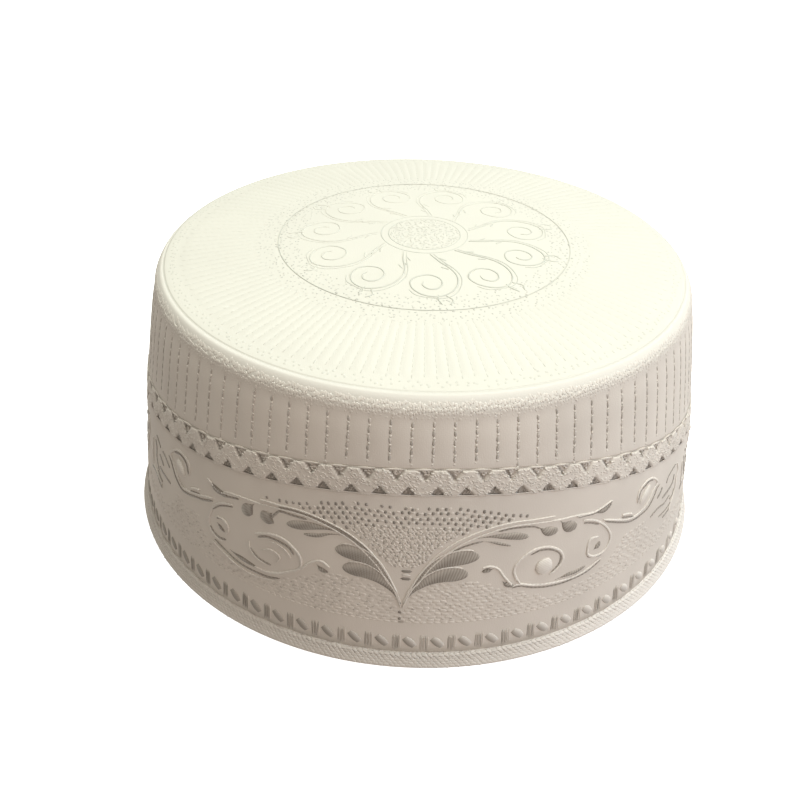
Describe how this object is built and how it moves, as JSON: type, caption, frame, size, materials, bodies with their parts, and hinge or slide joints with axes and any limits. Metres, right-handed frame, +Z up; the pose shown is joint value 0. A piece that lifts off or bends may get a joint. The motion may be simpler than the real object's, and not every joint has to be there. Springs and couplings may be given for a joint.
{
  "type": "embroidered prayer cap",
  "caption": "Round brimless prayer cap: flat-domed top panel, soft side wall, plaited belt and bound hem, open and hollow underneath.",
  "frame": {"origin": "centre of the cap's foot, on the surface that its hem stands on", "axes": "+Z up along the cap's axis, -Y toward the front, where the embroidered vines meet and the belt stands highest, +X to the right seen from the front"},
  "size_m": [0.186, 0.186, 0.0896],
  "materials": {
    "panel_cloth": "cream quilted cotton, fine tone-on-tone embroidery",
    "wall_cloth": "warm ivory cotton with running stitch and satin-stitch scrolls",
    "thread": "twisted cotton thread, soft sheen",
    "braid": "plaited braid of seed stitch and sunk satin triangles",
    "hem_cloth": "twill binding with close rows of machine stitch"
  },
  "bodies": {
    "root": {"crown_top": "panel_cloth", "rim_piping": "thread", "crown_side": "wall_cloth", "band": "wall_cloth", "belt": "braid", "belt_cord_upper": "thread", "belt_cord_lower": "thread", "hem_binding": "hem_cloth"}
  },
  "joints": []
}
